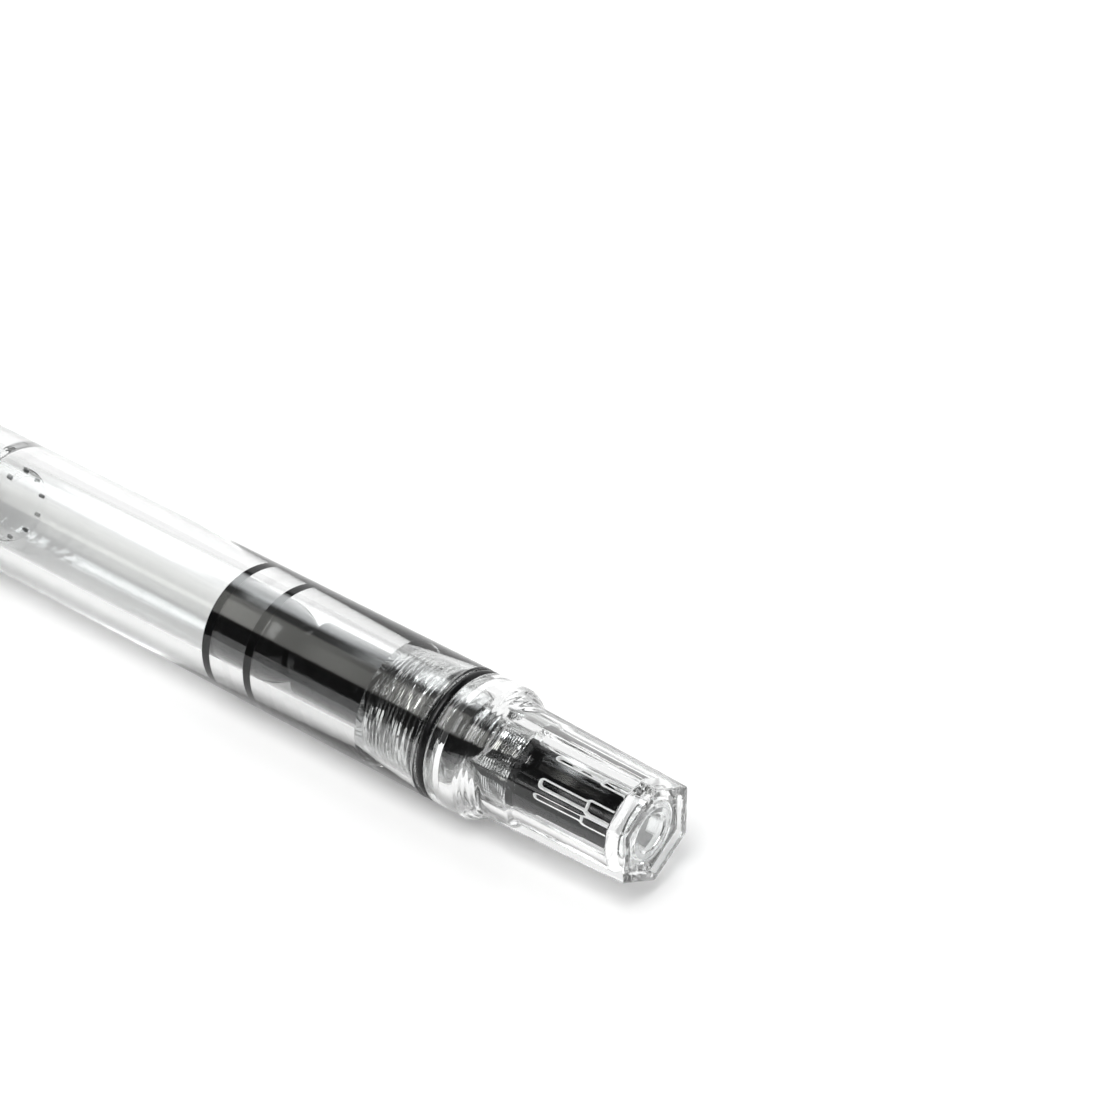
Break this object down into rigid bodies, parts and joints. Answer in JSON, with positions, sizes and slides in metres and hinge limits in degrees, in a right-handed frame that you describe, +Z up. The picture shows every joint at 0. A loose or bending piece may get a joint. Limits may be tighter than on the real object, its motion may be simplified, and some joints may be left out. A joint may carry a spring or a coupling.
{
  "type": "fountain pen",
  "caption": "Clear piston-filling fountain pen with a six-sided screw cap, spring clip, steel nib, twist filling knob and black internal piston.",
  "frame": {"origin": "centre of the overall box in plan, on the surface the pen lies on", "axes": "+X along the pen's axis towards the filling knob's end, -X towards the cap's end, +Z up; the pen lies on one flat of its cap with the clip on top"},
  "size_m": [0.1414, 0.0148, 0.0156],
  "materials": {
    "barrel": "clear, polished",
    "nib_housing": "clear, satin",
    "housing_o_ring": "satin",
    "feed": "satin",
    "nib": "polished",
    "piston_guide": "clear",
    "guide_o_ring": "satin",
    "piston_seal": "smooth black",
    "seal_retainer": "smooth black",
    "piston_rod": "smooth black",
    "knob_o_ring": "satin",
    "drive_sleeve": "satin black",
    "piston_knob": "clear, polished",
    "knob_end_disc": "clear, satin",
    "inner_cap": "clear, satin",
    "cap_thread_ring": "clear",
    "cap_body": "clear, polished",
    "clip_washer": "matte",
    "cap_clip": "polished",
    "cap_finial": "clear, polished",
    "finial_disc": "satin"
  },
  "bodies": {
    "barrel": {"barrel": "barrel", "nib_housing": "nib_housing", "housing_o_ring": "housing_o_ring", "feed": "feed", "nib": "nib", "piston_guide": "piston_guide", "guide_o_ring": "guide_o_ring"},
    "piston": {"piston_seal": "piston_seal", "seal_retainer": "seal_retainer", "piston_rod": "piston_rod"},
    "knob_seat": {"knob_o_ring": "knob_o_ring"},
    "knob": {"piston_knob": "piston_knob", "drive_sleeve": "drive_sleeve", "knob_end_disc": "knob_end_disc"},
    "cap_liner": {"inner_cap": "inner_cap"},
    "cap_ring": {"cap_thread_ring": "cap_thread_ring"},
    "cap": {"cap_body": "cap_body", "clip_washer": "clip_washer", "cap_clip": "cap_clip", "cap_finial": "cap_finial", "finial_disc": "finial_disc"}
  },
  "joints": [
    {"name": "knob_travel", "type": "slide", "parent": "barrel", "child": "knob_seat", "axis": [1, 0, 0], "range_m": [0, 0.0036]},
    {"name": "knob_turn", "type": "hinge", "parent": "knob_seat", "child": "knob", "pos_m": [0.06, 0, 0.00645], "axis": [1, 0, 0], "range_deg": [0, 1440]},
    {"name": "piston_slide", "type": "slide", "parent": "barrel", "child": "piston", "axis": [-1, 0, 0], "range_m": [0, 0.017]},
    {"name": "cap_pull", "type": "slide", "parent": "barrel", "child": "cap_liner", "axis": [-1, 0, 0], "range_m": [0, 0.055]},
    {"name": "cap_travel", "type": "slide", "parent": "cap_liner", "child": "cap_ring", "axis": [-1, 0, 0], "range_m": [0, 0.003]},
    {"name": "cap_turn", "type": "hinge", "parent": "cap_ring", "child": "cap", "pos_m": [-0.045, 0, 0.00645], "axis": [-1, 0, 0], "range_deg": [0, 720]}
  ],
  "couplings": [
    {"joint": "knob_travel", "follows": "piston_slide", "ratio": 0.21176},
    {"joint": "knob_turn", "follows": "piston_slide", "rad_per_m": 1478.4},
    {"joint": "cap_turn", "follows": "cap_travel", "rad_per_m": 4188.8}
  ]
}
